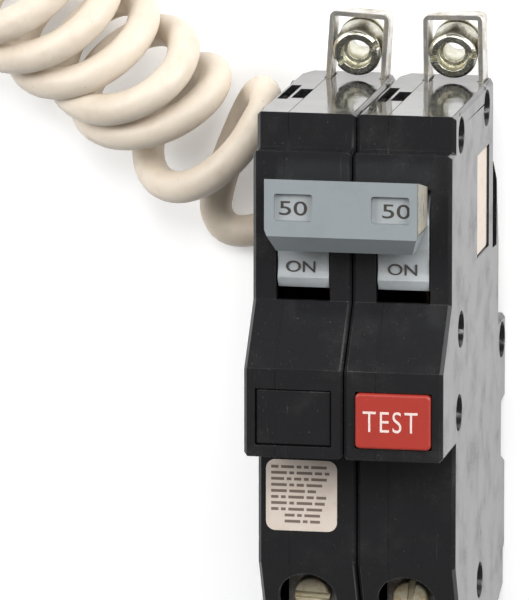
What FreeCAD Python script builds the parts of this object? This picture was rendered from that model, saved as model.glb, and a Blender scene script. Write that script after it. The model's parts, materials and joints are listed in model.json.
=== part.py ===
import FreeCAD, Part
import math
import os
import Sketcher

from FreeCAD import Placement, Rotation, Vector

# Two-pole plug-on ground fault breaker, lying on its back.
# X runs across the poles, Y towards the line end, Z out of the handle side.
# The origin is under the middle of the breaker, on the surface that it lies on.

doc = FreeCAD.newDocument("gfci_breaker")
sheet = doc.addObject("Spreadsheet::Sheet", "Dims")

DRIVING = [
    # case
    ("pole_pitch", 19.05, "one pole is three quarters of an inch wide"),
    ("pole_gap", 0.1, "half of the gap between the poles"),
    ("seam_x", 6.1, "where base and cover of a pole meet"),
    ("wall", 1.9, "moulded wall"),
    ("line_end", 47.0, "line end face"),
    ("load_end", 60.0, "load end face, on the minus side"),
    ("front_z", 61.5, "front of the line end block"),
    ("handle_z", 65.9, "front around the handles"),
    ("block_z", 75.5, "front of the button block"),
    ("shoulder_z", 60.5, "front of the load end body"),
    ("step_y", 40.3, "line end block to handle front"),
    ("slope_y", 12.0, "foot of the slope up to the button block"),
    ("block_top_y", 0.6, "line side of the button block"),
    ("block_low_y", 16.3, "load side of the button block, on the minus side"),
    ("edge_chamfer", 0.7, "broken edges of the mouldings"),
    # handle
    ("pivot_y", 22.0, "handle pivot"),
    ("pivot_z", 50.0, "handle pivot"),
    ("pin_r", 1.5, "handle pivot pin"),
    ("handle_r", 16.9, "handle drum"),
    ("handle_x0", 4.85, "left face of a handle drum"),
    ("handle_wide", 9.8, "width of a handle drum"),
    ("tab_x0", 5.3, "left face of a handle tab"),
    ("tab_wide", 8.9, "width of a handle tab"),
    ("bar_wide", 29.2, "handle tie bar"),
    ("bar_z", 76.5, "front of the tie bar"),
    # line terminal
    ("strap_x", 11.8, "middle of the line strap in its pole"),
    ("strap_wide", 11.6, "outside width of the strap"),
    ("strap_top", 59.8, "top of the strap"),
    ("strap_z0", 14.8, "back edge of the strap"),
    ("strap_deep", 5.8, "width of the strip"),
    ("strip", 1.0, "strip thickness"),
    ("sleeve_r", 4.65, "sleeve nut outside radius"),
    ("sleeve_long", 8.6, "sleeve nut length"),
    ("sleeve_bore", 2.1, "sleeve nut thread"),
    # load terminal
    ("lug_x", 9.0, "middle of the load lug in its pole"),
    ("lug_y", 47.7, "load screw, on the minus side"),
    ("wire_z", 41.0, "wire way through the lug"),
    ("wire_r", 3.6, "wire way radius"),
    ("screw_head_r", 3.5, "load screw head"),
    ("screw_head_z", 52.6, "load screw head top"),
    # pigtail
    ("cord_r", 3.15, "pigtail wire radius"),
    ("exit_x", 9.0, "pigtail exit"),
    ("exit_z", 4.2, "pigtail exit"),
    ("coil_r", 14.5, "coil, centre of the wire"),
    ("coil_lean", 40.0, "lean of the turns, degrees"),
    ("coil_long", 55.0, "length of the coiled stretch"),
]


class Size:
    """A length that knows its value and the sheet expression that gives it."""

    def __init__(self, value, text):
        self.value = float(value)
        self.text = text

    def __add__(self, other):
        other = size(other)
        return Size(self.value + other.value, f"({self.text} + {other.text})")

    def __sub__(self, other):
        other = size(other)
        return Size(self.value - other.value, f"({self.text} - {other.text})")

    def __mul__(self, factor):
        return Size(self.value * factor, f"({self.text} * {factor})")

    def __neg__(self):
        return Size(-self.value, f"(0 mm - {self.text})")

    def __radd__(self, other):
        return size(other) + self

    def __rsub__(self, other):
        return size(other) - self


def size(value):
    if isinstance(value, Size):
        return value
    return Size(value, f"{value:.6f} mm")


dim = {}
for row, (alias, value, note) in enumerate(DRIVING, start=1):
    sheet.set(f"A{row}", alias)
    sheet.set(f"B{row}", str(value))
    sheet.set(f"C{row}", note)
    sheet.setAlias(f"B{row}", alias)
    unit = "1" if alias == "coil_lean" else "1 mm"
    dim[alias] = Size(value, f"(Dims.{alias} * {unit})")
doc.recompute()

PLANES = {"YZ": "YZ_Plane", "XZ": "XZ_Plane", "XY": "XY_Plane"}
POLES = {"left": -dim["pole_pitch"], "right": size(0)}
parts = {}


def bind(obj, prop, value):
    obj.setExpression(prop, size(value).text)


def place(obj, x=0, y=0, z=0, rotation=None):
    """Put an object at x, y, z, each bound to the sheet."""
    base = Vector(size(x).value, size(y).value, size(z).value)
    obj.Placement = Placement(base, rotation or Rotation())
    for axis, value in zip("xyz", (x, y, z)):
        bind(obj, f"Placement.Base.{axis}", value)


def keep(obj, label):
    """Name an object as a sub-part that is written out."""
    obj.Label = label
    parts[label] = obj
    return obj


def box(x0, x1, y0, y1, z0, z1):
    obj = doc.addObject("Part::Box", "Block")
    bind(obj, "Length", size(x1) - x0)
    bind(obj, "Width", size(y1) - y0)
    bind(obj, "Height", size(z1) - z0)
    place(obj, x0, y0, z0)
    return obj


TURNS = {
    "X": Rotation(Vector(0, 1, 0), 90),
    "Y": Rotation(Vector(1, 0, 0), -90),
    "Z": Rotation(),
}


def rod(axis, radius, length, x, y, z):
    """A cylinder that starts at x, y, z and runs along plus axis."""
    obj = doc.addObject("Part::Cylinder", "Rod")
    bind(obj, "Radius", radius)
    bind(obj, "Height", length)
    place(obj, x, y, z, TURNS[axis])
    return obj


def cone(axis, radius1, radius2, length, x, y, z):
    obj = doc.addObject("Part::Cone", "Taper")
    bind(obj, "Radius1", radius1)
    bind(obj, "Radius2", radius2)
    bind(obj, "Height", length)
    place(obj, x, y, z, TURNS[axis])
    return obj


def prism(plane, outline, length, x=0, y=0, z=0):
    """A padded sketch. YZ pads towards +X, XZ towards -Y and XY towards +Z."""
    body = doc.addObject("PartDesign::Body", "Moulding")
    sketch = body.newObject("Sketcher::SketchObject", "Outline")
    origin = [f for f in body.Origin.OriginFeatures if f.Role == PLANES[plane]][0]
    sketch.AttachmentSupport = [(origin, "")]
    sketch.MapMode = "FlatFace"
    corners = [(size(a), size(b)) for a, b in outline]
    for i, (a, b) in enumerate(corners):
        c, d = corners[(i + 1) % len(corners)]
        start = Vector(a.value, b.value, 0)
        end = Vector(c.value, d.value, 0)
        sketch.addGeometry(Part.LineSegment(start, end))
    for i in range(len(corners)):
        following = (i + 1) % len(corners)
        sketch.addConstraint(Sketcher.Constraint("Coincident", i, 2, following, 1))
    for i, corner in enumerate(corners):
        for kind, value in zip(("DistanceX", "DistanceY"), corner):
            index = sketch.addConstraint(Sketcher.Constraint(kind, -1, 1, i, 1, value.value))
            sketch.setExpression(f"Constraints[{index}]", value.text)
    pad = body.newObject("PartDesign::Pad", "Pad")
    pad.Profile = sketch
    bind(pad, "Length", length)
    body.Tip = pad
    place(body, x, y, z)
    return body


def fuse(*shapes):
    if len(shapes) == 1:
        return shapes[0]
    obj = doc.addObject("Part::MultiFuse", "Joined")
    obj.Shapes = list(shapes)
    obj.Refine = True
    return obj


def cut(base, *tools):
    obj = doc.addObject("Part::Cut", "Machined")
    obj.Base = base
    obj.Tool = fuse(*tools)
    return obj


def chamfer(base, amount, picks):
    """Break the edges of base for which picks(edge) is true."""
    doc.recompute()
    obj = doc.addObject("Part::Chamfer", "Broken")
    obj.Base = base
    edges = base.Shape.Edges
    obj.Edges = [(i, amount, amount) for i, edge in enumerate(edges, start=1) if picks(edge)]
    return obj


def round_edges(base, radius, picks):
    doc.recompute()
    obj = doc.addObject("Part::Fillet", "Rounded")
    obj.Base = base
    edges = base.Shape.Edges
    obj.Edges = [(i, radius, radius) for i, edge in enumerate(edges, start=1) if picks(edge)]
    return obj


def upright(edge):
    """True for a straight edge that runs along Z."""
    ends = edge.Vertexes
    return len(ends) == 2 and abs(ends[0].X - ends[1].X) < 1e-6 and abs(ends[0].Y - ends[1].Y) < 1e-6


def on_plane(axis, value):
    """A test for edges that lie in the plane where axis equals value."""
    target = size(value).value
    return lambda edge: all(abs(getattr(v, axis.upper()) - target) < 1e-4 for v in edge.Vertexes)


# ---------------------------------------------------------------- case

RELIEF_Z = 8.6        # back of the line half, clear of the surface
END_BACK_Z = 12.5     # back of the line end
PAD_END_Y = -1.7      # where the back steps down to the first foot

CASE_FRONT = [
    (dim["line_end"], dim["front_z"]),
    (dim["step_y"], dim["front_z"]),
    (dim["step_y"], dim["handle_z"]),
    (dim["slope_y"], dim["handle_z"]),
    (dim["block_top_y"], dim["block_z"]),
    (-dim["block_low_y"], dim["block_z"]),
    (-dim["block_low_y"], dim["shoulder_z"]),
    (-40.0, dim["shoulder_z"]),
    (-dim["load_end"], 50.0),
]
CASE_BACK = [
    (-dim["load_end"], 14.0),
    (-58.3, 8.0),
    (-55.6, 1.5),
    (-48.8, 1.5),
    (-48.0, 0.0),
    (-30.3, 0.0),
    (-29.6, 4.6),
    (-19.0, 4.6),
    (-18.3, 0.0),
    (PAD_END_Y, 0.0),
    (PAD_END_Y, RELIEF_Z),
    (14.0, RELIEF_Z),
    (33.0, END_BACK_Z),
    (dim["line_end"], END_BACK_Z),
]
wall = dim["wall"]
CAVITY = [
    (dim["line_end"] - wall, dim["front_z"] - wall),
    (dim["step_y"] - wall, dim["front_z"] - wall),
    (dim["step_y"] - wall, dim["handle_z"] - wall),
    (dim["slope_y"] + 0.7, dim["handle_z"] - wall),
    (dim["block_top_y"] + 0.7, dim["block_z"] - wall),
    (wall - dim["block_low_y"], dim["block_z"] - wall),
    (wall - dim["block_low_y"], dim["shoulder_z"] - wall),
    (-39.5, dim["shoulder_z"] - wall),
    (wall - dim["load_end"], 48.9),
    (wall - dim["load_end"], 14.4),
    (-56.4, 9.0),
    (-54.2, 3.4),
    (-47.2, wall),
    (-31.9, wall),
    (-31.2, 4.6 + wall),
    (-17.4, 4.6 + wall),
    (-16.6, wall),
    (PAD_END_Y - wall, wall),
    (PAD_END_Y - wall, RELIEF_Z + wall),
    (13.6, RELIEF_Z + wall),
    (32.6, END_BACK_Z + wall),
    (dim["line_end"] - wall, END_BACK_Z + wall),
]
RIVETS = [(42.5, 54.9), (42.7, 24.5), (5.3, 54.5), (-6.2, 4.6), (-10.4, 56.4), (-48.3, 30.8)]
RIVET_R = 1.4
RIVET_HEAD_R = 2.7
RECESS_R = 3.5
RECESS_DEEP = 2.4
BOSS_R = 2.75
RECESS_BOSS_R = 4.2
TRIP_Y = -1.5
TRIP_Z = 24.0
TRIP_R = 1.5
BUTTON_X = (2.4, 16.7)
BUTTON_Y = (-13.95, -3.4)


def case_half(side, name, x0, x1):
    """One moulded half of a pole, between x0 and x1 measured from the pole's left side."""
    left = POLES[side]
    is_base = name == "base"
    outer_x = left + (x0 if is_base else x1)
    solid = prism("YZ", CASE_FRONT + CASE_BACK, size(x1) - x0, x=left + x0)
    solid = chamfer(solid, dim["edge_chamfer"].value, on_plane("x", outer_x))
    hollow_x0 = wall if is_base else x0
    hollow_x1 = x1 if is_base else dim["pole_pitch"] - wall
    hollow = prism("YZ", CAVITY, size(hollow_x1) - hollow_x0, x=left + hollow_x0)
    shell = cut(solid, hollow)

    solids = [shell]
    wide_x = x0 if is_base else size(x1) - RECESS_DEEP - 1.2
    for y, z in RIVETS:
        solids.append(rod("X", BOSS_R, size(x1) - x0, left + x0, y, z))
        solids.append(rod("X", RECESS_BOSS_R, RECESS_DEEP + 1.2, left + wide_x, y, z))
    pin_boss_x = size(1.0) if is_base else dim["handle_x0"] + dim["handle_wide"] + 0.25
    pin_boss_end = dim["handle_x0"] - 0.25 if is_base else size(18.0)
    solids.append(
        rod("X", 3.2, pin_boss_end - pin_boss_x, left + pin_boss_x, dim["pivot_y"], dim["pivot_z"])
    )
    half = fuse(*solids)

    tools = []
    outermost = (side == "left") == is_base
    for y, z in RIVETS:
        tools.append(rod("X", RIVET_R + 0.05, 20, left - 0.5, y, z))
        if outermost:
            start = left - 1 if is_base else left + x1 - RECESS_DEEP
            tools.append(rod("X", RECESS_R, RECESS_DEEP + (1 + 0.1 if is_base else 1), start, y, z))
    tools.append(rod("X", dim["pin_r"] + 0.02, 14.2, left + 2.4, dim["pivot_y"], dim["pivot_z"]))
    handle_x1 = dim["handle_x0"] + dim["handle_wide"] + 0.25
    tools.append(box(left + dim["handle_x0"] - 0.25, left + handle_x1, dim["slope_y"], 33.7, 62, 70))
    window_x0 = left + (BUTTON_X[0] - 0.12)
    window_x1 = left + (BUTTON_X[1] + 0.12)
    tools.append(box(window_x0, window_x1, BUTTON_Y[0] - 0.12, BUTTON_Y[1] + 0.12, 72, 78))
    screw_x = left + dim["lug_x"]
    tools.append(rod("Z", 5.6, 16, screw_x, -dim["lug_y"], 48.8))
    tools.append(box(screw_x - 5.6, screw_x + 5.6, -62, -dim["lug_y"], 48.8, 62))
    tools.append(rod("Y", dim["wire_r"] + 0.6, 6, screw_x, -62, dim["wire_z"]))
    strap_half = dim["strap_wide"] * 0.5
    for inner, outer in ((-1.2, 0.25), (1.2, -0.25)):
        edge = left + dim["strap_x"] + (strap_half if inner < 0 else -strap_half)
        lo, hi = sorted((inner, outer))
        tools.append(box(edge + lo, edge + hi, 44, 48, dim["strap_z0"] - 0.2, 20.8))
    if is_base:
        tools.append(box(left + 3.7, left + 6.1, 44, 48, 34.6, 45.2))
        tools.append(box(left + 1.2, left + 3.1, 44, 48, 30.5, 46.4))
        tools.append(prism("XZ", [(0, 12), (2.2, 12), (2.2, 12.5), (0, 18.6)], 34, x=left, y=48))
    else:
        outline = [(16.6, 12), (19.2, 12), (19.2, 17.4), (16.6, 12.4)]
        tools.append(prism("XZ", outline, 34, x=left, y=48))
    inner_wall = (side == "left") != is_base
    if inner_wall:
        tools.append(rod("X", TRIP_R + 0.06, 5, left + (-1 if is_base else 16), TRIP_Y, TRIP_Z))
    if side == "right":
        tools.append(rod("Y", 3.62, 4, dim["exit_x"], PAD_END_Y - 3, dim["exit_z"]))
        if not is_base:
            tools.append(box(18.35, 20, 15.4, 35.2, 21.6, 35.6))
    return keep(cut(half, *tools), f"{side}_case_{name}")


for pole_side in POLES:
    case_half(pole_side, "base", dim["pole_gap"], dim["seam_x"])
    case_half(pole_side, "cover", dim["seam_x"], dim["pole_pitch"] - dim["pole_gap"])


def case_rivets():
    """Long rivets through both poles, each with its two set heads."""
    rivets = []
    low = size(RECESS_DEEP) - dim["pole_pitch"] + dim["pole_gap"]
    high = -low
    for y, z in RIVETS:
        shank = rod("X", RIVET_R, high - low, low, y, z)
        head = rod("X", RIVET_HEAD_R, 0.9, high, y, z)
        other = rod("X", RIVET_HEAD_R, 0.9, low - 0.9, y, z)
        rivets.append(fuse(shank, head, other))
    group = doc.addObject("Part::Compound", "Rivets")
    group.Links = rivets
    return keep(group, "case_rivets")


case_rivets()

# ---------------------------------------------------------------- handles

DRUM_FROM = -27.0     # drum ends, degrees from the front towards the line end
DRUM_TO = 59.0
TAB_Y = (26.9, 35.5)
TAB_TOP = 75.3
TAB_FOOT_Y = 33.0     # the tab is narrower where it comes out of the case
WINDOW_SHIFT = {"left": 0.0, "right": -0.7}


def tab_outline(gap):
    """Side outline of the tab that the bar fits over, or of the slot for it, so much larger."""
    front, back = TAB_Y
    return [
        (front - gap, 58),
        (TAB_FOOT_Y + gap, 58),
        (TAB_FOOT_Y + gap, 65.8),
        (back + gap, TAB_TOP + gap / 2),
        (front - gap, TAB_TOP + gap / 2),
    ]


def handle(side):
    """Drum sector on the pivot, with the tab that the tie bar fits over."""
    left = POLES[side]
    drum = doc.addObject("Part::Cylinder", "Drum")
    bind(drum, "Radius", dim["handle_r"])
    bind(drum, "Height", dim["handle_wide"])
    drum.Angle = DRUM_TO - DRUM_FROM
    turn = Rotation(Vector(0, 1, 0), 90).multiply(Rotation(Vector(0, 0, 1), 180 - DRUM_TO))
    place(drum, left + dim["handle_x0"], dim["pivot_y"], dim["pivot_z"], turn)
    hub = rod("X", 3.6, dim["handle_wide"], left + dim["handle_x0"], dim["pivot_y"], dim["pivot_z"])
    tab = prism("YZ", tab_outline(0.0), dim["tab_wide"], x=left + dim["tab_x0"])
    bore = rod("X", dim["pin_r"] + 0.05, 12, left + 3.5, dim["pivot_y"], dim["pivot_z"])
    dish = rod("X", 9.0, 12, left + 3.5, 19.0, 74.5)
    under_bar = box(left + 3.5, left + 16, 22.9, 26.9, 66.0, 77)
    return keep(cut(fuse(drum, hub, tab), bore, dish, under_bar), f"{side}_handle")


for pole_side in POLES:
    handle(pole_side)


def handle_pins():
    pins = []
    for left in POLES.values():
        pins.append(rod("X", dim["pin_r"], 14, left + 2.5, dim["pivot_y"], dim["pivot_z"]))
    group = doc.addObject("Part::Compound", "Pins")
    group.Links = pins
    return keep(group, "handle_pins")


handle_pins()


BAR_TAPER = 1.7       # how far the bar narrows at each end towards its lower lip


def tie_bar():
    """The cap that joins both handle tabs, with a window over each."""
    outline = [
        (34.5, 66.4),
        (36.8, dim["bar_z"]),
        (26.0, dim["bar_z"]),
        (22.7, 73.2),
        (22.7, 69.2),
        (26.8, 66.4),
    ]
    half = dim["bar_wide"] * 0.5
    bar = prism("YZ", outline, dim["bar_wide"], x=-half - 0.2)
    tools = []
    for side, left in POLES.items():
        x0 = left + dim["tab_x0"] - 0.1
        x1 = left + dim["tab_x0"] + dim["tab_wide"] + 0.1
        shift = WINDOW_SHIFT[side]
        tools.append(prism("YZ", tab_outline(0.1), x1 - x0, x=x0))
        window = box(x0 + (0.9 + shift), x1 - (0.9 - shift), 28.9, 34.1, 70, 80)
        tools.append(round_edges(window, 0.6, upright))
    ends = (-half.value - 0.2, half.value - 0.2)
    for end, inward in zip(ends, (1, -1)):
        taper = [(end - inward, 27.2), (end, 27.2), (end + inward * BAR_TAPER, 22.6), (end - inward, 22.6)]
        tools.append(prism("XY", taper, 14, z=64))
    return keep(cut(bar, *tools), "handle_tie_bar")


tie_bar()

# ---------------------------------------------------------------- front pieces


def test_button():
    x0, x1 = BUTTON_X
    y0, y1 = BUTTON_Y
    cap = round_edges(box(x0, x1, y0, y1, 71.4, 76.2), 0.9, upright)
    cap = round_edges(cap, 0.5, on_plane("z", 76.2))
    flange = box(x0 - 0.35, x1 + 0.25, y0 - 0.3, y1 + 1.2, 71.2, 73.0)
    return keep(fuse(cap, flange), "test_button")


test_button()


def blank_plate():
    x0, x1 = BUTTON_X
    y0, y1 = BUTTON_Y
    left = POLES["left"]
    plate = box(left + x0, left + x1, y0, y1, 72.0, 75.1)
    plate = round_edges(plate, 0.4, on_plane("z", 75.1))
    flange = box(left + (x0 - 0.35), left + (x1 + 0.25), y0 - 0.3, y1 + 1.2, 71.2, 73.5)
    return keep(fuse(plate, flange), "blank_button_plate")


blank_plate()

SPRING_Z = (62.0, 71.2)
SPRING_R = 2.4
SPRING_WIRE_R = 0.35


def test_spring():
    """Compression spring under the test button, with four open turns."""
    span = SPRING_Z[1] - SPRING_Z[0] - 2 * SPRING_WIRE_R
    helix = doc.addObject("Part::Helix", "SpringPath")
    helix.Pitch = span / 4
    helix.Height = span
    helix.Radius = SPRING_R
    wire = doc.addObject("Part::Circle", "SpringWire")
    wire.Radius = SPRING_WIRE_R
    wire.Placement = Placement(Vector(SPRING_R, 0, 0), Rotation(Vector(1, 0, 0), 90))
    doc.recompute()
    sweep = doc.addObject("Part::Sweep", "Spring")
    sweep.Sections = [wire]
    sweep.Spine = (helix, [f"Edge{i + 1}" for i in range(len(helix.Shape.Edges))])
    sweep.Solid = True
    sweep.Frenet = True
    place(sweep, 9.5, -8.7, SPRING_Z[0] + SPRING_WIRE_R)
    return keep(sweep, "test_button_spring")


test_spring()
keep(box(4, 15.9, -11.6, -5.8, 61.0, 61.95), "test_contact")


def rounded_label(label, plate, axis, radius):
    def along(edge):
        direction = edge.Vertexes[0].Point - edge.Vertexes[-1].Point
        return abs(abs(getattr(direction, axis)) - edge.Length) < 1e-6 and edge.Length < 1
    return keep(round_edges(plate, radius, along), label)


rounded_label("rating_label", box(-17.35, -3.7, -33.5, -19.8, 60.5, 60.65), "z", 1.8)
rounded_label("side_label", box(18.35, 18.5, 15.6, 35.0, 21.8, 35.4), "x", 0.8)

# ---------------------------------------------------------------- line terminals

STRAP_LEAN = {"left": -3.5, "right": 1.0}
SLEEVE_TILT = 15.0
SLEEVE_Y = 53.0
SLEEVE_Z = 17.6
SLEEVE_SLOT = {"left": 30.0, "right": 5.0}


def lean_about_base(obj, side):
    """Lean a terminal piece sideways about the foot of its strap."""
    foot = Vector((POLES[side] + dim["strap_x"]).value, dim["line_end"].value, 0)
    turn = Placement(Vector(), Rotation(Vector(0, 0, 1), STRAP_LEAN[side]), foot)
    obj.Placement = turn.multiply(obj.Placement)
    return obj


def line_strap(side):
    middle = POLES[side] + dim["strap_x"]
    half = dim["strap_wide"] * 0.5
    strip = dim["strip"]
    z0 = dim["strap_z0"]
    z1 = z0 + dim["strap_deep"]
    outer = box(middle - half, middle + half, dim["line_end"], dim["strap_top"], z0, z1)
    corner = [dim["strap_top"].value, (middle - half).value, (middle + half).value]

    def top_corners(edge):
        vertical = edge.Length > 5 and abs(edge.Vertexes[0].X - edge.Vertexes[1].X) < 1e-6
        at_top = abs(edge.Vertexes[0].Y - corner[0]) < 1e-6 and abs(edge.Vertexes[1].Y - corner[0]) < 1e-6
        return vertical and at_top

    outer = round_edges(outer, 1.2, top_corners)
    inner = box(middle - half + strip, middle + half - strip, 40, dim["strap_top"] - strip, 10, 25)
    band = cut(outer, inner)
    band.Placement = Placement(
        Vector(), Rotation(Vector(0, 0, 1), STRAP_LEAN[side]), Vector(middle.value, 47, 0)
    )
    pieces = [band]
    for x0 in (middle - half, middle + half - strip):
        pieces.append(box(x0, x0 + strip, 45.0, dim["line_end"] + 0.4, z0, z1))
    pieces.append(box(middle - half + 0.4, middle + half - 0.65, 44.0, 45.05, z0, z1 - 0.8))
    pieces.append(box(middle - 3, middle + 3, 37, 44.1, 16.9, 18.1))
    pieces.append(box(middle - 3, middle + 3, 37, 38.2, 16.9, 25))
    return keep(fuse(*pieces), f"{side}_line_strap")


def sleeve_nut(side):
    """Captive sleeve with a screwdriver slot, tapped through for the bus stud."""
    middle = POLES[side] + dim["strap_x"]
    radius = dim["sleeve_r"]
    long = dim["sleeve_long"]
    outer = doc.addObject("Part::Cylinder", "Sleeve")
    bind(outer, "Radius", radius)
    bind(outer, "Height", long)
    outer = chamfer(outer, 0.5, lambda edge: len(edge.Vertexes) == 1)
    neck = cut(rod("Z", radius + 1, 0.9, 0, 0, 1.5), rod("Z", radius - 0.45, 2, 0, 0, 1.0))
    bore = rod("Z", dim["sleeve_bore"], 20, 0, 0, -5)
    counterbore = rod("Z", 2.95, 5, 0, 0, long - 2.4)
    slot = box(-8, 8, -0.65, 0.65, long - 1.3, long + 2)
    slot.Placement = Placement(Vector(), Rotation(Vector(0, 0, 1), SLEEVE_SLOT[side])).multiply(
        slot.Placement
    )
    for axis, value in zip("xyz", (-8, -0.65, 7.3)):
        slot.setExpression(f"Placement.Base.{axis}", None)
    sleeve = cut(outer, neck, bore, counterbore, slot)
    tilt = Rotation(Vector(1, 0, 0), SLEEVE_TILT)
    start = Vector(middle.value, SLEEVE_Y, SLEEVE_Z) - tilt.multVec(Vector(0, 0, long.value / 2))
    sleeve.Placement = Placement(start, tilt)
    return keep(lean_about_base(sleeve, side), f"{side}_sleeve_nut")


for pole_side in POLES:
    line_strap(pole_side)
    sleeve_nut(pole_side)

# ---------------------------------------------------------------- mechanism of each pole

ARM_Y = 24.0
ARM_Z = 43.0


def contact_arm(side):
    left = POLES[side]
    outline = [(22.4, 43), (25.6, 43), (35.0, 24.5), (35.0, 20.6), (33.0, 20.6), (31.6, 24.0)]
    blade = prism("YZ", outline, 3, x=left + 8)
    hub = rod("X", 2.3, 3, left + 8, ARM_Y, ARM_Z)
    tip = box(left + 7.6, left + 11.4, 34.6, 35.9, 20.7, 24.2)
    bore = rod("X", 1.05, 5, left + 7, ARM_Y, ARM_Z)
    keep(cut(fuse(blade, hub), bore, box(left + 7, left + 12, 34.6, 36, 20, 25)), f"{side}_contact_arm")
    keep(tip, f"{side}_moving_contact")
    keep(box(left + 8.8, left + 12.4, 36, 37, 20.5, 24.4), f"{side}_fixed_contact")


def arm_pivot_pins():
    pins = []
    for left in POLES.values():
        pins.append(rod("X", 1.0, 15.1, left + 1.95, ARM_Y, ARM_Z))
    group = doc.addObject("Part::Compound", "ArmPins")
    group.Links = pins
    return keep(group, "contact_arm_pins")


def arc_chute(side):
    """Steel plates between two fibre cheeks, behind the vent slots."""
    left = POLES[side]
    cheeks = [
        box(left + 2.1, left + 2.7, 39.6, 44.8, 29.2, 48.0),
        box(left + 7.0, left + 7.6, 39.6, 44.8, 29.2, 48.0),
    ]
    plates = [
        box(left + 2.1, left + 7.6, 40.0, 45.0, 30.6 + 3.2 * i, 31.4 + 3.2 * i) for i in range(6)
    ]
    return keep(fuse(*cheeks, *plates), f"{side}_arc_chute")


def trip_parts(side):
    left = POLES[side]
    lever = prism("YZ", [(14, 32), (14, 36), (-5.0, 35.4), (-5.0, 33.6)], 1.5, x=left + 12.9)
    hub = rod("X", 2.6, 1.5, left + 12.9, 13.5, 34)
    keep(cut(fuse(lever, hub), rod("X", 1.05, 4, left + 12, 13.5, 34)), f"{side}_cradle")
    keep(rod("X", 1.0, 4.5, left + 12.6, 13.5, 34), f"{side}_cradle_pin")

    yoke = prism("XY", [(9.2, -14), (14.6, -14), (14.6, -8.6), (13.8, -8.6), (13.8, -13.1),
                        (10.0, -13.1), (10.0, -8.6), (9.2, -8.6)], 11, x=left, z=29)
    keep(yoke, f"{side}_magnet_yoke")
    keep(box(left + 10.4, left + 13.4, -11.4, -10.4, 12, 46), f"{side}_bimetal")
    keep(box(left + 9.4, left + 12.6, -7.6, -6.6, 27.5, 42), f"{side}_armature")


def toggle_spring(side):
    """Extension spring between handle and cradle, as its outside form."""
    left = POLES[side]
    coil = cut(rod("Z", 1.3, 8, left + 6.2, 16, 32), rod("Z", 0.7, 10, left + 6.2, 16, 31))
    return keep(coil, f"{side}_toggle_spring")


def braid(side):
    """Flexible copper lead from the arm's terminal down to the bimetal foot."""
    left = (POLES[side] + 6.2).value
    path = [(19.0, 28.0), (12.0, 19.0), (2.0, 14.6), (-9.0, 14.0)]
    points = [Vector(left, y, z) for y, z in path]
    solid = tube(points, 1.1)
    obj = doc.addObject("Part::Feature", "Braid")
    obj.Shape = solid
    return keep(obj, f"{side}_braid")


def rounded_path(points, radii=None):
    """Straight runs joined by tangent arcs, each arc as large as its runs allow."""
    edges = []
    used = []
    start = points[0]
    for i in range(1, len(points) - 1):
        before = points[i] - points[i - 1]
        after = points[i + 1] - points[i]
        turn = before.getAngle(after)
        reach = 0.45 * min(before.Length, after.Length)
        into = points[i] - before.normalize() * reach
        out = points[i] + after.normalize() * reach
        radius = reach / math.tan(turn / 2)
        used.append(radius)
        bisector = ((into - points[i]) + (out - points[i])).normalize()
        depth = radius / math.cos(turn / 2) - radius
        edges.append(Part.LineSegment(start, into).toShape())
        edges.append(Part.Arc(into, points[i] + bisector * depth, out).toShape())
        start = out
    edges.append(Part.LineSegment(start, points[-1]).toShape())
    if radii is not None:
        radii.extend(used)
    return Part.Wire(edges)


def tube(points, radius, radii=None):
    path = rounded_path(points, radii)
    direction = points[1] - points[0]
    ring = Part.Wire(Part.makeCircle(radius, points[0], direction))
    solid = path.makePipeShell([ring], True, False)
    return solid


def load_terminal(side):
    left = POLES[side]
    x = left + dim["lug_x"]
    y = -dim["lug_y"]
    lug = box(x - 5.2, x + 5.2, y - 6, y + 6, 35.9, 48.2)
    wire_way = rod("Y", dim["wire_r"], 20, x, y - 10, dim["wire_z"])
    thread = rod("Z", 2.25, 10, x, y, 42)
    keep(cut(lug, wire_way, thread), f"{side}_load_lug")
    head = rod("Z", dim["screw_head_r"], 3.0, x, y, dim["screw_head_z"] - 3.0)
    head = round_edges(head, 0.6, on_plane("z", dim["screw_head_z"]))
    shank = rod("Z", 2.2, 5.2, x, y, 44.7)
    slot = box(-5, 5, -0.6, 0.6, 0, 3)
    turn = Rotation(Vector(0, 0, 1), {"left": -3.0, "right": 82.0}[side])
    holder = fuse(slot, box(-5, 5, -0.6, 0.6, 2.9, 3.2))
    place(holder, x, y, dim["screw_head_z"] - 1.3, turn)
    return keep(cut(fuse(head, shank), holder), f"{side}_load_screw")


for pole_side in POLES:
    contact_arm(pole_side)
    arc_chute(pole_side)
    trip_parts(pole_side)
    toggle_spring(pole_side)
    braid(pole_side)
    load_terminal(pole_side)
arm_pivot_pins()

# ---------------------------------------------------------------- ground fault module


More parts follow.
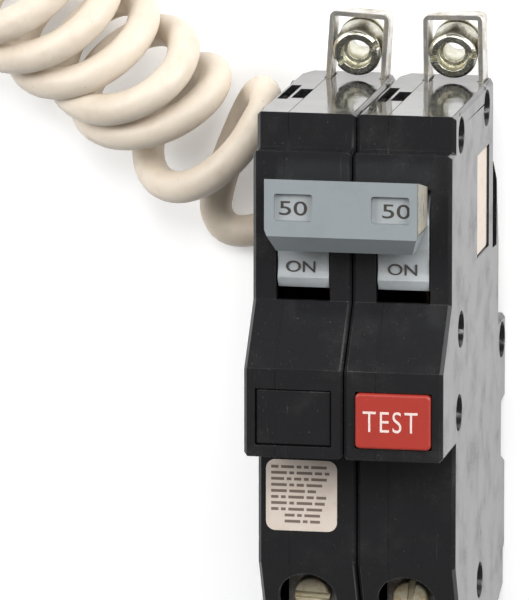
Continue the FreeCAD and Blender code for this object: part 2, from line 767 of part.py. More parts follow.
def ground_fault_module():
    bar = rod("X", TRIP_R, 33.8, -16.9, TRIP_Y, TRIP_Z)
    paddles = [box(3.6, 6.8, TRIP_Y - 0.8, TRIP_Y + 0.8, TRIP_Z, 31), ]
    for left in POLES.values():
        paddles.append(box(left + 12.8, left + 14.6, TRIP_Y - 0.8, TRIP_Y + 0.8, TRIP_Z, 30.5))
    keep(fuse(bar, *paddles), "trip_bar")

    bobbin = fuse(
        rod("Y", 3.3, 12, 5.4, -33, 28),
        rod("Y", 3.45, 1, 5.4, -34, 28),
        rod("Y", 3.45, 1, 5.4, -21, 28),
    )
    keep(cut(bobbin, rod("Y", 1.45, 30, 5.4, -32, 28)), "solenoid_coil")
    keep(fuse(rod("Y", 1.35, 24.4, 5.4, -29.8, 28)), "solenoid_plunger")

    ring = doc.addObject("Part::Torus", "Core")
    ring.Radius1 = 6.2
    ring.Radius2 = 2.6
    place(ring, POLES["left"] + 9.2, -28, 24, TURNS["X"])
    keep(ring, "current_transformer")

    keep(box(15.3, 16.5, -38, -3, 11, 51), "circuit_board")
    chip = box(12.9, 15.3, -34, -27, 40, 46)
    capacitor = rod("X", 3.2, 5, 10.3, -22, 42)
    resistors = [rod("Z", 1.0, 6, 13.9, -36 + 3.2 * i, 14) for i in range(3)]
    group = doc.addObject("Part::Compound", "Components")
    group.Links = [chip, capacitor, *resistors]
    keep(group, "board_components")


ground_fault_module()

# ---------------------------------------------------------------- neutral pigtail

ALONG = Vector(-0.82, 0.572, 0).normalize()     # coil axis, away from the case
ACROSS = Vector(-ALONG.y, ALONG.x, 0) * -1       # level, square to the axis
RING_CENTRE = Vector(-37.6, 34.8, 0)             # middle of the first full turn
COIL_FROM = -5.0
cord_r = dim["cord_r"].value
lean = math.radians(dim["coil_lean"].value)
coil_height = dim["coil_r"].value * math.cos(lean) + cord_r


def pigtail_coil():
    """Outside form of the coiled stretch: an oval cylinder lying on the surface."""
    level = dim["coil_r"].value + cord_r + 1.0
    start = RING_CENTRE + ALONG * COIL_FROM + Vector(0, 0, coil_height)
    oval = Part.Ellipse(Vector(0, 0, 0), level, coil_height)
    face = Part.Face(Part.Wire(oval.toShape()))
    solid = face.extrude(Vector(0, 0, dim["coil_long"].value))
    obj = doc.addObject("Part::Feature", "Coil")
    obj.Shape = solid
    turn = Rotation(ACROSS, Vector(0, 0, 1), ALONG, "ZXY")
    obj.Placement = Placement(start, turn)
    keep(obj, "pigtail_coil")


def on_cap(s, t, z):
    """A point s along the coil axis, t across it and z above the surface."""
    return RING_CENTRE + ALONG * s + ACROSS * t + Vector(0, 0, z)


exit_point = Vector(dim["exit_x"].value, PAD_END_Y, dim["exit_z"].value)
LEAD_ROUTE = [
    exit_point,
    Vector(9.0, 8.0, 4.2),
    Vector(3.8, 16.6, 4.0),
    Vector(-5.8, 20.6, 3.8),
    Vector(-16.0, 19.0, 3.6),
    Vector(-26.0, 14.8, 3.4),
    Vector(-34.6, 13.6, 3.3),
    Vector(-39.6, 16.8, 3.3),
    on_cap(COIL_FROM, -12.6, 3.6),
]
TAIL_ROUTE = [
    on_cap(COIL_FROM + 55.0, 2.0, 3.3),
    on_cap(COIL_FROM + 61.0, 7.0, 3.3),
    on_cap(COIL_FROM + 62.5, 15.5, 3.3),
    on_cap(COIL_FROM + 60.0, 24.0, 3.3),
]
BARE_LONG = 14.0
BARE_R = 2.3


def pigtail():
    for label, route in (("pigtail_lead", LEAD_ROUTE), ("pigtail_tail", TAIL_ROUTE)):
        radii = []
        solid = tube(route, cord_r, radii)
        obj = doc.addObject("Part::Feature", "Cord")
        obj.Shape = solid
        keep(obj, label)
        length = rounded_path(route).Length
        expected = math.pi * cord_r ** 2 * length
        print(label, "length", round(length, 1), "radii", [round(r, 1) for r in radii],
              "volume ratio", round(solid.Volume / expected, 4))
    end = TAIL_ROUTE[-1]
    direction = (end - TAIL_ROUTE[-2]).normalize()
    bare = doc.addObject("Part::Feature", "BareEnd")
    bare.Shape = Part.makeCylinder(BARE_R, BARE_LONG, end, direction)
    keep(bare, "pigtail_bare_end")

    sleeve = fuse(
        rod("Y", 3.6, 2.2, dim["exit_x"], PAD_END_Y - 2.2, dim["exit_z"]),
        cone("Y", 4.0, 3.5, 6, dim["exit_x"], PAD_END_Y, dim["exit_z"]),
    )
    hole = rod("Y", dim["cord_r"], 14, dim["exit_x"], PAD_END_Y - 4, dim["exit_z"])
    keep(cut(sleeve, hole), "pigtail_grommet")


pigtail_coil()
pigtail()

# ---------------------------------------------------------------- write

doc.recompute()
for obj in doc.Objects:
    if "Invalid" in obj.State or "Error" in obj.State:
        raise RuntimeError(f"{obj.Label} ({obj.Name}) failed: {obj.State}")

os.makedirs("parts", exist_ok=True)
for label, obj in parts.items():
    shape = obj.Shape
    if shape.isNull() or not shape.isValid():
        raise RuntimeError(f"{label} has no valid shape")
    shape.exportStep(os.path.join("parts", f"{label}.step"))
print(len(parts), "sub-parts written")
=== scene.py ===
import json
import math
import random

import bmesh
import bpy
from mathutils import Matrix, Vector

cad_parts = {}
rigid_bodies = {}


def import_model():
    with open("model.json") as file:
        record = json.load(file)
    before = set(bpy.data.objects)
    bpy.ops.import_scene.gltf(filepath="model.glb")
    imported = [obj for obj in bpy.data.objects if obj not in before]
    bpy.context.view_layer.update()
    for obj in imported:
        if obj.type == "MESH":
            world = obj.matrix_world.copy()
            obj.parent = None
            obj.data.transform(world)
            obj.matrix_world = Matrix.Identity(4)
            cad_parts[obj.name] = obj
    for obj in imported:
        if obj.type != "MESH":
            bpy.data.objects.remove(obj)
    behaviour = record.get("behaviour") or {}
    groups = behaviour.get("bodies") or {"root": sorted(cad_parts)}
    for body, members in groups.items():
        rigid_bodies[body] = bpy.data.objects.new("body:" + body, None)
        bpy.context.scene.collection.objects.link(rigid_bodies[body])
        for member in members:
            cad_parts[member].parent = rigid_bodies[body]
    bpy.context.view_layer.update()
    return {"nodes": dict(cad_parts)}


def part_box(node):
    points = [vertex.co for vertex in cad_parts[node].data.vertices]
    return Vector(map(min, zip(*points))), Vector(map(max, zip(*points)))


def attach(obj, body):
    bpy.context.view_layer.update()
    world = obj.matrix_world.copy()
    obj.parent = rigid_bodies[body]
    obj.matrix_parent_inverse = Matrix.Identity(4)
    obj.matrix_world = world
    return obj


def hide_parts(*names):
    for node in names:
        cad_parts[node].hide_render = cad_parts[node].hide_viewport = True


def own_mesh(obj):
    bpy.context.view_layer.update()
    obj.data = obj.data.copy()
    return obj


for old in list(bpy.data.objects):
    bpy.data.objects.remove(old)

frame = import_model()
nodes = frame["nodes"]
MM = 0.001


# ---------------------------------------------------------------- camera

CAMERA_AT = Vector((284.85, 326.99, 1701.19)) * MM
CAMERA_YAW = math.radians(10.447)
CAMERA_PITCH = math.radians(10.733)
CAMERA_LENS = 540.0


def add_camera():
    """Long lens high above the front, a little to the line end and to the right."""
    look = Vector((
        -math.sin(CAMERA_YAW) * math.cos(CAMERA_PITCH),
        -math.sin(CAMERA_PITCH),
        -math.cos(CAMERA_YAW) * math.cos(CAMERA_PITCH),
    ))
    right = look.cross(Vector((0, 1, 0))).normalized()
    up = right.cross(look)
    data = bpy.data.cameras.new("camera")
    data.lens = CAMERA_LENS
    data.clip_start = 0.1
    data.clip_end = 10
    camera = bpy.data.objects.new("camera", data)
    axes = Matrix((right, up, -look)).transposed()
    camera.matrix_world = Matrix.Translation(CAMERA_AT) @ axes.to_4x4()
    bpy.context.scene.collection.objects.link(camera)
    bpy.context.scene.camera = camera


add_camera()


# ---------------------------------------------------------------- neutral pigtail

ALONG = Vector((-0.82, 0.572, 0)).normalized()      # coil axis, away from the case
ACROSS = Vector((-ALONG.y, ALONG.x, 0)) * -1        # level, square to the axis
RING_CENTRE = Vector((-37.6, 34.8, 0))              # middle of the first full turn
RING_TURN = math.radians(38.5)                      # the turns stand a little askew to the axis
RING_SIDE = Vector((math.cos(RING_TURN), math.sin(RING_TURN), 0))
RING_LEAN = math.radians(34)
CORD_R = 3.15
CAP_AT = 50.0
BARE_LONG = 14.0
STEPS_PER_TURN = 16
JOIN_TURN = 0.12
TURNS = 5.45
PITCH = 9.1                                         # along the axis at each turn


def on_cap(s, t, z):
    """A point s along the coil axis, t across it and z above the surface, in millimetres."""
    return RING_CENTRE + ALONG * s + ACROSS * t + Vector((0, 0, z))


LEAD_ROUTE = (
    Vector((9.0, -1.7, 4.2)),
    Vector((9.0, 8.0, 4.2)),
    Vector((3.8, 16.6, 4.0)),
    Vector((-5.8, 20.6, 3.8)),
    Vector((-16.0, 19.0, 3.6)),
    Vector((-26.0, 14.6, 3.4)),
    Vector((-34.6, 12.6, 3.3)),
    Vector((-38.2, 16.6, 3.3)),
    Vector((-37.2, 22.0, 4.2)),
    Vector((-35.0, 28.0, 6.4)),
    Vector((-32.2, 34.0, 9.2)),
    Vector((-29.6, 39.4, 12.0)),
    Vector((-27.0, 43.2, 15.0)),
    Vector((-25.0, 43.0, 18.4)),
    Vector((-25.0, 40.4, 20.8)),
)
TAIL_ROUTE = (
    on_cap(CAP_AT + 1.5, -10.9, 13.6),
    on_cap(CAP_AT + 3.5, -7.9, 8.6),
    on_cap(CAP_AT + 5.1, -2.4, 4.6),
    on_cap(CAP_AT + 6.1, 3.1, 3.3),
    on_cap(CAP_AT + 7, 8.5, 3.3),
    on_cap(CAP_AT + 7.5, 15.5, 3.3),
    on_cap(CAP_AT + 5, 24.0, 3.3),
)


def near(turn, middle, width):
    """1 at the middle turn, fading to 0 on both sides of it."""
    return math.exp(-(((turn - middle) / width) ** 2))


def ring_at(turn):
    """Radius and place after so many turns. The first turn is pulled open, the third is widest."""
    radius = 12.4 + 2.0 * near(turn, 2.2, 0.5) + 0.8 * near(turn, 4.9, 0.8)
    along = PITCH * turn - 5.5 * near(turn, 0.5, 0.3) + 2.3 * near(turn, 1.5, 0.3)
    across = 3.2 * near(turn, 2.5, 0.3) - 2.6 * near(turn, 0.7, 0.4) - 1.5 * near(turn, 2, 0.3)
    return radius, along, across


def coil_point(turn):
    """The turns rest on the surface and lean back towards the breaker at the top."""
    radius, along, across = ring_at(turn)
    angle = math.tau * turn
    up = Vector((0, 0, 1)) * math.cos(RING_LEAN) - ALONG * math.sin(RING_LEAN)
    centre = on_cap(along, across, radius * math.cos(RING_LEAN) + CORD_R)
    return centre + (RING_SIDE * math.cos(angle) + up * math.sin(angle)) * radius


def pigtail_route():
    points = list(LEAD_ROUTE)
    steps = int(round((TURNS - JOIN_TURN) * STEPS_PER_TURN))
    for step in range(steps + 1):
        points.append(coil_point(JOIN_TURN + step / STEPS_PER_TURN))
    points.extend(TAIL_ROUTE)
    return points


def add_pigtail():
    points = pigtail_route()
    data = bpy.data.curves.new("neutral_pigtail", "CURVE")
    data.dimensions = "3D"
    spline = data.splines.new("NURBS")
    spline.points.add(len(points) - 1)
    for control, point in zip(spline.points, points):
        control.co = (*(point * MM), 1)
        control.radius = CORD_R * MM
    spline.order_u = 3
    spline.use_endpoint_u = True
    spline.resolution_u = 6
    data.bevel_depth = 1.0
    data.bevel_resolution = 8
    data.use_fill_caps = True
    cord = bpy.data.objects.new("neutral_pigtail", data)
    bpy.context.scene.collection.objects.link(cord)
    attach(cord, "case")
    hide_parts("pigtail_lead", "pigtail_coil", "pigtail_tail")
    return cord


STRANDS = 6             # round a middle one
STRAND_R = 0.74
STRAND_TWISTS = 1.1
STRAND_STEPS = 24
BARE_R = 2.3
BARE_START = 0.3        # how far the strands reach into the jacket


def add_strands():
    """The stripped end: six copper strands laid round a middle one."""
    start = TAIL_ROUTE[-1]
    way = (start - TAIL_ROUTE[-2]).normalized()
    side_way = way.cross(Vector((0, 0, 1))).normalized()
    lift = side_way.cross(way)
    data = bpy.data.curves.new("bare_strands", "CURVE")
    data.dimensions = "3D"
    data.bevel_depth = 1.0
    data.bevel_resolution = 3
    data.use_fill_caps = True
    for strand in range(STRANDS + 1):
        reach = 0 if strand == STRANDS else BARE_R - STRAND_R
        long = BARE_LONG - (0.5 if strand % 2 else 0.1)
        spline = data.splines.new("POLY")
        spline.points.add(STRAND_STEPS)
        for step, control in enumerate(spline.points):
            part = step / STRAND_STEPS
            angle = math.tau * (strand / STRANDS + STRAND_TWISTS * part)
            place = start + way * (long * part - BARE_START)
            place = place + (side_way * math.cos(angle) + lift * math.sin(angle)) * reach
            control.co = (*(place * MM), 1)
            control.radius = STRAND_R * MM
    strands = bpy.data.objects.new("bare_strands", data)
    bpy.context.scene.collection.objects.link(strands)
    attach(strands, "case")
    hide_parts("pigtail_bare_end")
    return strands


# ---------------------------------------------------------------- test button spring

SPRING_TURNS = 6
SPRING_WIRE = 0.35      # radius of the wire
SPRING_SIDES = 10
SPRING_STEPS = SPRING_TURNS * 24


def add_spring():
    """The test button's return spring, which stays on its seat."""
    low, high = (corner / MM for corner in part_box("test_button_spring"))
    middle = (low + high) / 2
    radius = (high.x - low.x) / 2 - SPRING_WIRE
    travel = high.z - low.z - 2 * SPRING_WIRE
    mesh = bpy.data.meshes.new("button_spring")
    verts, faces = [], []
    for step in range(SPRING_STEPS + 1):
        angle = math.tau * SPRING_TURNS * step / SPRING_STEPS
        out = Vector((math.cos(angle), math.sin(angle), 0))
        place = middle + out * radius
        place.z = low.z + SPRING_WIRE + travel * step / SPRING_STEPS
        for side in range(SPRING_SIDES):
            turn = math.tau * side / SPRING_SIDES
            point = place + (out * math.cos(turn) + Vector((0, 0, math.sin(turn)))) * SPRING_WIRE
            verts.append(point * MM)
    for step in range(SPRING_STEPS):
        for side in range(SPRING_SIDES):
            a = step * SPRING_SIDES + side
            b = step * SPRING_SIDES + (side + 1) % SPRING_SIDES
            faces.append((a, b, b + SPRING_SIDES, a + SPRING_SIDES))
    faces.append(tuple(range(SPRING_SIDES)))
    last = SPRING_STEPS * SPRING_SIDES
    faces.append(tuple(last + side for side in reversed(range(SPRING_SIDES))))
    mesh.from_pydata(verts, [], faces)
    mesh.validate()
    mesh.update()
    mesh.shade_smooth()
    spring = bpy.data.objects.new("button_spring", mesh)
    bpy.context.scene.collection.objects.link(spring)
    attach(spring, "case")
    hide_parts("test_button_spring")
    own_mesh(spring)
    return spring


spring = add_spring()
strands = add_strands()
pigtail = add_pigtail()


# ---------------------------------------------------------------- materials


class Look:
    """A node material made step by step. Lengths are in millimetres of the row frame."""

    def __init__(self, name, color, roughness, metallic=0.0):
        self.mat = bpy.data.materials.new(name)
        self.mat.use_nodes = True
        self.tree = self.mat.node_tree
        self.shader = self.tree.nodes["Principled BSDF"]
        self.shader.inputs["Metallic"].default_value = metallic
        self.color = self.const(color)
        self.rough = roughness
        self.height = None
        self.where = self.tree.nodes.new("ShaderNodeTexCoord").outputs["Object"]

    def const(self, color):
        node = self.tree.nodes.new("ShaderNodeRGB")
        node.outputs[0].default_value = (*color, 1)
        return node.outputs[0]

    def put(self, value, socket):
        if isinstance(value, (int, float)):
            socket.default_value = value
        else:
            self.tree.links.new(value, socket)

    def coords(self, stretch=(1, 1, 1), turn=(0, 0, 0)):
        node = self.tree.nodes.new("ShaderNodeMapping")
        node.inputs["Scale"].default_value = [s / MM for s in stretch]
        node.inputs["Rotation"].default_value = turn
        self.put(self.where, node.inputs["Vector"])
        return node.outputs["Vector"]

    def noise(self, size, detail=4, rough=0.55, stretch=(1, 1, 1), turn=(0, 0, 0)):
        node = self.tree.nodes.new("ShaderNodeTexNoise")
        node.inputs["Scale"].default_value = 1 / size
        node.inputs["Detail"].default_value = detail
        node.inputs["Roughness"].default_value = rough
        self.put(self.coords(stretch, turn), node.inputs["Vector"])
        return node.outputs["Fac"]

    def span(self, value, low, high, to_low=0.0, to_high=1.0):
        node = self.tree.nodes.new("ShaderNodeMapRange")
        node.interpolation_type = "SMOOTHSTEP"
        for name, number in (
            ("From Min", low), ("From Max", high), ("To Min", to_low), ("To Max", to_high)
        ):
            node.inputs[name].default_value = number
        self.put(value, node.inputs["Value"])
        return node.outputs["Result"]

    def math(self, kind, a, b):
        node = self.tree.nodes.new("ShaderNodeMath")
        node.operation = kind
        self.put(a, node.inputs[0])
        self.put(b, node.inputs[1])
        return node.outputs[0]

    def axis(self, name):
        node = self.tree.nodes.new("ShaderNodeSeparateXYZ")
        self.put(self.coords(), node.inputs[0])
        return node.outputs[name]

    def tint(self, mask, color):
        """Blends the colour so far towards another where the mask is high."""
        node = self.tree.nodes.new("ShaderNodeMix")
        node.data_type = "RGBA"
        self.put(mask, node.inputs["Factor"])
        self.put(self.color, node.inputs[6])
        node.inputs[7].default_value = (*color, 1)
        self.color = node.outputs[2]

    def roughen(self, mask, amount):
        base = self.rough
        node = self.tree.nodes.new("ShaderNodeMath")
        node.operation = "MULTIPLY_ADD"
        node.use_clamp = True
        self.put(mask, node.inputs[0])
        node.inputs[1].default_value = amount
        self.put(base, node.inputs[2])
        self.rough = node.outputs[0]

    def raise_by(self, value, depth):
        """Adds value times depth to the surface height."""
        step = self.math("MULTIPLY", value, depth)
        self.height = step if self.height is None else self.math("ADD", self.height, step)

    def done(self, strength=1.0):
        self.put(self.color, self.shader.inputs["Base Color"])
        self.put(self.rough, self.shader.inputs["Roughness"])
        if self.height is not None:
            bump = self.tree.nodes.new("ShaderNodeBump")
            bump.inputs["Strength"].default_value = strength
            bump.inputs["Distance"].default_value = MM
            self.put(self.height, bump.inputs["Height"])
            self.put(bump.outputs["Normal"], self.shader.inputs["Normal"])
        return self.mat


def scratches(look, size, turn, low, high):
    """Fine long marks, a few times longer than wide."""
    return look.span(look.noise(size, 3, 0.6, (1, 0.06, 1), (0, 0, turn)), low, high)


END_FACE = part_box("left_case_base")[1].y / MM


def case_plastic():
    look = Look("case_plastic", (0.0125, 0.0125, 0.0135), 0.17)
    grime = look.noise(9, 6, 0.62)
    look.tint(look.span(grime, 0.5, 0.85, 0, 0.5), (0.032, 0.031, 0.031))
    specks = look.span(look.noise(0.55, 2, 0.5), 0.68, 0.8)
    look.tint(look.math("MULTIPLY", specks, 0.45), (0.1, 0.097, 0.094))
    rubbed = scratches(look, 0.5, 0.7, 0.66, 0.8)
    rubbed_too = scratches(look, 0.7, -0.9, 0.68, 0.82)
    marks = look.math("MAXIMUM", rubbed, rubbed_too)
    look.tint(look.math("MULTIPLY", marks, 0.3), (0.09, 0.088, 0.086))
    look.roughen(look.span(grime, 0.4, 0.8), 0.16)
    look.roughen(marks, 0.15)
    look.roughen(look.span(look.axis("Y"), END_FACE - 0.3, END_FACE - 0.1), -0.13)
    look.raise_by(look.noise(0.35, 3), 0.003)
    look.raise_by(look.noise(14, 2), 0.12)
    look.raise_by(marks, -0.01)
    return look.done()


def handle_plastic():
    look = Look("handle_plastic", (0.31, 0.33, 0.34), 0.42)
    look.tint(look.span(look.noise(5, 6, 0.65), 0.45, 0.8, 0, 0.55), (0.21, 0.225, 0.23))
    dirt = look.span(look.noise(0.8, 5, 0.7), 0.6, 0.78)
    look.tint(look.math("MULTIPLY", dirt, 0.5), (0.2, 0.19, 0.16))
    look.roughen(dirt, 0.2)
    look.raise_by(look.noise(0.3, 3), 0.02)
    look.raise_by(dirt, -0.02)
    return look.done()


def bar_plastic():
    look = Look("bar_plastic", (0.225, 0.25, 0.262), 0.4)
    look.tint(look.span(look.noise(6, 6, 0.65), 0.45, 0.8, 0, 0.5), (0.18, 0.2, 0.21))
    dirt = look.span(look.noise(0.9, 5, 0.7), 0.62, 0.8)
    look.tint(look.math("MULTIPLY", dirt, 0.5), (0.22, 0.2, 0.16))
    worn_end = look.span(look.axis("X"), 14.1, 14.3)
    ragged = look.span(look.noise(1.1, 5, 0.75), 0.35, 0.55)
    look.tint(look.math("MULTIPLY", worn_end, ragged), (0.33, 0.3, 0.23))
    streaks = look.span(look.noise(0.5, 4, 0.7, (1, 0.12, 1)), 0.5, 0.62)
    look.tint(look.math("MULTIPLY", worn_end, streaks), (0.13, 0.12, 0.1))
    look.roughen(dirt, 0.25)
    look.roughen(worn_end, 0.3)
    look.raise_by(look.noise(0.3, 3), 0.02)
    look.raise_by(look.math("MULTIPLY", worn_end, look.noise(0.9, 6, 0.7)), 0.5)
    look.raise_by(dirt, -0.03)
    return look.done()


def red_plastic():
    look = Look("red_plastic", (0.33, 0.03, 0.02), 0.4)
    look.tint(look.span(look.noise(3, 6, 0.65), 0.45, 0.8, 0, 0.6), (0.27, 0.028, 0.02))
    pale = look.span(look.noise(0.7, 4, 0.7), 0.64, 0.78)
    look.tint(look.math("MULTIPLY", pale, 0.35), (0.62, 0.2, 0.16))
    look.roughen(pale, 0.2)
    look.raise_by(look.noise(0.3, 3), 0.02)
    return look.done()


def label_paper():
    look = Look("label_paper", (0.56, 0.49, 0.43), 0.62)
    look.tint(look.span(look.noise(3, 6, 0.65), 0.42, 0.8, 0, 0.7), (0.47, 0.37, 0.29))
    stain = look.span(look.noise(0.7, 5, 0.7), 0.62, 0.8)
    look.tint(look.math("MULTIPLY", stain, 0.5), (0.3, 0.2, 0.13))
    look.raise_by(look.noise(0.25, 3), 0.015)
    return look.done()


def ink(name="ink", color=(0.03, 0.026, 0.022)):
    look = Look(name, color, 0.7)
    look.tint(look.span(look.noise(0.5, 4, 0.7), 0.5, 0.75, 0, 0.6), (0.16, 0.13, 0.1))
    look.raise_by(look.noise(0.2, 2), 0.01)
    return look.done()


def white_paint():
    look = Look("white_paint", (0.78, 0.7, 0.66), 0.5)
    worn = look.span(look.noise(0.7, 5, 0.7), 0.46, 0.62)
    look.tint(look.math("MULTIPLY", worn, 0.8), (0.42, 0.12, 0.09))
    look.raise_by(look.noise(0.3, 3), 0.03)
    return look.done()


def tinned_copper():
    look = Look("tinned_copper", (0.62, 0.6, 0.56), 0.3, 1.0)
    tarnish = look.span(look.noise(3.2, 6, 0.68), 0.42, 0.66)
    look.tint(look.math("MULTIPLY", tarnish, 0.75), (0.33, 0.27, 0.19))
    dark = look.span(look.noise(1.1, 5, 0.7), 0.58, 0.74)
    look.tint(look.math("MULTIPLY", dark, 0.7), (0.12, 0.1, 0.08))
    look.roughen(tarnish, 0.15)
    look.roughen(dark, 0.25)
    look.raise_by(look.noise(0.5, 4), 0.05)
    look.raise_by(scratches(look, 0.3, 0.2, 0.6, 0.8), -0.03)
    return look.done()


def zinc_steel():
    look = Look("zinc_steel", (0.6, 0.59, 0.5), 0.26, 1.0)
    yellow = look.span(look.noise(1.7, 5, 0.66), 0.45, 0.7)
    look.tint(look.math("MULTIPLY", yellow, 0.7), (0.44, 0.39, 0.24))
    dark = look.span(look.noise(0.6, 5, 0.7), 0.6, 0.75)
    look.tint(look.math("MULTIPLY", dark, 0.8), (0.14, 0.12, 0.09))
    look.roughen(dark, 0.3)
    look.raise_by(look.noise(0.35, 4), 0.05)
    return look.done()


def screw_zinc():
    look = Look("screw_zinc", (0.62, 0.57, 0.42), 0.42, 0.45)
    ochre = look.span(look.noise(1.4, 5, 0.7), 0.45, 0.66)
    look.tint(look.math("MULTIPLY", ochre, 0.8), (0.5, 0.34, 0.16))
    dark = look.span(look.noise(0.6, 5, 0.7), 0.6, 0.75)
    look.tint(look.math("MULTIPLY", dark, 0.7), (0.16, 0.12, 0.08))
    look.roughen(dark, 0.3)
    look.raise_by(look.noise(0.35, 4), 0.06)
    return look.done()


def plain_metal(name, color, roughness):
    look = Look(name, color, roughness, 1.0)
    look.tint(look.span(look.noise(1.5, 5, 0.65), 0.45, 0.75, 0, 0.5), [c * 0.6 for c in color])
    look.raise_by(look.noise(0.4, 4), 0.03)
    return look.done()


def plain_plastic(name, color, roughness):
    look = Look(name, color, roughness)
    look.tint(look.span(look.noise(2.5, 5, 0.65), 0.45, 0.75, 0, 0.5), [c * 0.7 for c in color])
    look.raise_by(look.noise(0.3, 3), 0.02)
    return look.done()


def cord_jacket():
    look = Look("cord_jacket", (0.65, 0.57, 0.47), 0.45)
    look.shader.inputs["Subsurface Weight"].default_value = 0.08
    look.shader.inputs["Subsurface Radius"].default_value = (0.002, 0.0015, 0.001)
    look.tint(look.span(look.noise(7, 6, 0.65), 0.42, 0.75, 0, 0.6), (0.54, 0.45, 0.35))
    specks = look.span(look.noise(0.6, 3, 0.6), 0.68, 0.76)
    look.tint(look.math("MULTIPLY", specks, 0.6), (0.2, 0.16, 0.12))
    smears = scratches(look, 0.8, 0.5, 0.68, 0.8)
    look.tint(look.math("MULTIPLY", smears, 0.3), (0.36, 0.3, 0.24))
    look.roughen(smears, 0.2)
    look.raise_by(look.noise(1.2, 4), 0.04)
    look.raise_by(look.noise(6, 2), 0.3)
    return look.done()


LOOKS = {
    "case_plastic": case_plastic(),
    "handle_plastic": handle_plastic(),
    "red_plastic": red_plastic(),
    "label_paper": label_paper(),
    "tinned_copper": tinned_copper(),
    "zinc_steel": zinc_steel(),
    "steel": plain_metal("steel", (0.5, 0.49, 0.47), 0.3),
    "copper": plain_metal("copper", (0.72, 0.36, 0.2), 0.28),
    "silver_contact": plain_metal("silver_contact", (0.78, 0.77, 0.74), 0.25),
    "board_green": plain_plastic("board_green", (0.03, 0.16, 0.07), 0.4),
    "winding": plain_plastic("winding", (0.4, 0.13, 0.04), 0.3),
    "dark_plastic": plain_plastic("dark_plastic", (0.03, 0.03, 0.032), 0.4),
    "cord_jacket": cord_jacket(),
}
BAR_LOOK = bar_plastic()
SCREW_LOOK = screw_zinc()
INK_LOOK = ink()
LABEL_INK = ink("label_ink", (0.14, 0.105, 0.085))

pigtail.data.materials.append(LOOKS["cord_jacket"])
strands.data.materials.append(LOOKS["copper"])
spring.data.materials.append(LOOKS["steel"])
for node in nodes.values():
    finish_name = node.data.materials[0].name.split(".")[0]
    node.material_slots[0].material = LOOKS[finish_name]
nodes["handle_tie_bar"].material_slots[0].material = BAR_LOOK
for side in ("left", "right"):
    nodes[f"{side}_load_screw"].material_slots[0].material = SCREW_LOOK


# ---------------------------------------------------------------- edges of the moulded pieces


def soften(name, width):
    """Rounds the sharp edges of a CAD node with modifiers; its own mesh stays as it is."""
    node = nodes[name]
    weld = node.modifiers.new("weld", "WELD")
    weld.merge_threshold = 0.001 * MM
    bevel = node.modifiers.new("bevel", "BEVEL")
    bevel.width = width * MM
    bevel.segments = 2
    bevel.limit_method = "ANGLE"
    bevel.angle_limit = math.radians(32)
    bevel.use_clamp_overlap = False
    bevel.harden_normals = True


for side in ("left", "right"):
    soften(f"{side}_case_base", 0.14)
    soften(f"{side}_case_cover", 0.14)
    soften(f"{side}_handle", 0.15)
    soften(f"{side}_line_strap", 0.12)
    soften(f"{side}_load_lug", 0.15)
    soften(f"{side}_sleeve_nut", 0.12)
    soften(f"{side}_load_screw", 0.15)


# ---------------------------------------------------------------- lettering


def lettering(name, words, at, wide, high, body, look, weight=0.03, depth=0.06, spacing=1.0):
    """Plain letters of a given size, centred on a point of a surface that faces up."""
    data = bpy.data.curves.new(name, "FONT")
    data.body = words
    data.size = 1
    data.align_x = "CENTER"
    data.align_y = "CENTER"
    data.offset = weight
    data.space_character = spacing
    data.extrude = 0.05
    data.materials.append(look)
    piece = bpy.data.objects.new(name, data)
    bpy.context.scene.collection.objects.link(piece)
    bpy.context.view_layer.update()
    letters_wide, letters_high, letters_deep = piece.dimensions
    piece.scale = (wide * MM / letters_wide, high * MM / letters_high, depth * MM / letters_deep)
    low, high_corner = (Vector(piece.bound_box[i]) for i in (0, 6))
    middle = (low + high_corner) / 2
    offset = Vector(m * s for m, s in zip(middle, piece.scale))
    piece.location = Vector(at) * MM - offset
    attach(piece, body)
    return piece


TAB_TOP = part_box("left_handle")[1].z / MM
BUTTON_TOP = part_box("test_button")[1].z / MM
DISH_LEVEL = 65.5
ON_RISE = 0.12          # keeps the foot of the letters clear of the curved tab
for side, number_x, word_x in (("left", -9.5, -9.8), ("right", 10.0, 9.6)):
    number_at = (number_x, 31.2, TAB_TOP)
    lettering(f"{side}_rating", "50", number_at, 5.3, 2.7, "handle", INK_LOOK, 0.004)
    word_at = (word_x, 18.4, DISH_LEVEL + ON_RISE)
    lettering(f"{side}_on", "ON", word_at, 5.6, 2.15, "handle", INK_LOOK, 0.004, 0.16)
lettering(
    "test_word", "TEST", (9.1, -8.7, BUTTON_TOP), 10.4, 4.0, "button", white_paint(), -0.004, 0.14, 1.15
)


# ---------------------------------------------------------------- labels

PRINT_LINES = 10
PRINT_PITCH = 1.17
PRINT_HIGH = 0.55


def bar_mesh(name, bars, look, body):
    """Thin printed bars, each given by its two corners and the height of its top."""
    mesh = bpy.data.meshes.new(name)
    build = bmesh.new()
    for (x0, y0), (x1, y1), top in bars:
        made = bmesh.ops.create_cube(build, size=1)
        for vert in made["verts"]:
            vert.co = (
                (x0 + x1) / 2 + vert.co.x * (x1 - x0),
                (y0 + y1) / 2 + vert.co.y * (y1 - y0),
                top - 0.02 + vert.co.z * 0.04,
            )
            vert.co *= MM
    build.to_mesh(mesh)
    build.free()
    mesh.materials.append(look)
    piece = bpy.data.objects.new(name, mesh)
    bpy.context.scene.collection.objects.link(piece)
    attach(piece, body)
    return piece


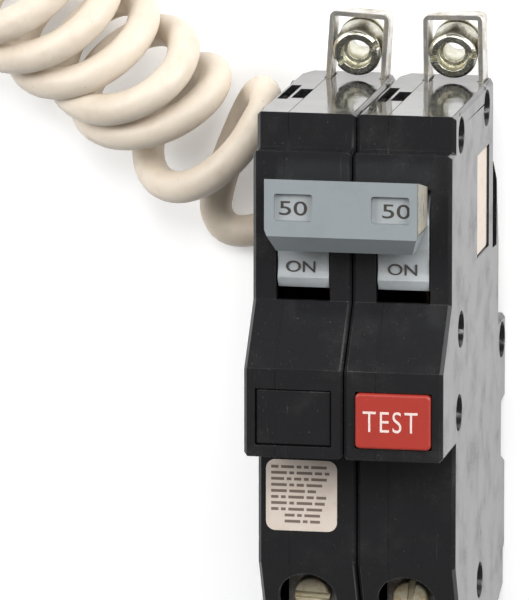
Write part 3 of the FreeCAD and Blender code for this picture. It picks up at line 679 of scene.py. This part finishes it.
def printed_lines():
    """Rows of plain dashes where a rating label has its small print."""
    low, high = (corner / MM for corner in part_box("rating_label"))
    chance = random.Random(7)
    bars = []
    for row in range(PRINT_LINES):
        y = high.y - 1.35 - row * PRINT_PITCH
        x = low.x + (1.0 if row < 8 else 3.6)
        line_end = high.x - chance.uniform(0.9, 4.2)
        while x < line_end - 0.8:
            word = min(chance.choice((0.9, 1.4, 1.9, 2.5, 3.0)), line_end - x)
            bars.append(((x, y - PRINT_HIGH / 2), (x + word, y + PRINT_HIGH / 2), high.z + 0.03))
            x += word + 0.5
    return bar_mesh("rating_label_print", bars, LABEL_INK, "case")


printed_lines()


# ---------------------------------------------------------------- floor and light


def add_floor():
    bpy.ops.mesh.primitive_plane_add(size=6, location=(0, 0, -0.0002))
    floor = bpy.context.object
    floor.name = "floor"
    look = Look("floor", (0.9, 0.9, 0.9), 0.6)
    look.tint(look.span(look.noise(400, 2), 0.3, 0.7, 0, 0.3), (0.88, 0.88, 0.88))
    look.shader.inputs["Emission Color"].default_value = (1, 1, 1, 1)
    look.shader.inputs["Emission Strength"].default_value = 0.22
    floor.data.materials.append(look.done())


def area_light(name, at, aim, size, power):
    data = bpy.data.lights.new(name, "AREA")
    data.size = size
    data.energy = power
    lamp = bpy.data.objects.new(name, data)
    lamp.location = at
    way = Vector(aim) - Vector(at)
    lamp.rotation_euler = way.to_track_quat("-Z", "Y").to_euler()
    bpy.context.scene.collection.objects.link(lamp)


def add_world(strength):
    world = bpy.data.worlds.new("studio")
    world.use_nodes = True
    sky = world.node_tree.nodes["Background"]
    sky.inputs["Color"].default_value = (1, 1, 1, 1)
    sky.inputs["Strength"].default_value = strength
    bpy.context.scene.world = world


add_floor()
add_world(0.12)
area_light("right_soft", (1.0, 0.5, 0.7), (0, 0, 0.02), 0.9, 19)
area_light("left_soft", (-0.9, 0.5, 0.8), (0, 0, 0.02), 0.9, 15)
area_light("line_end_soft", (0.15, 0.7, 1.3), (0, 0, 0.02), 0.5, 8)
area_light("load_end_soft", (0.1, -1.0, 0.6), (0, 0, 0.02), 0.9, 0.3)

bpy.context.scene.view_settings.view_transform = "Standard"
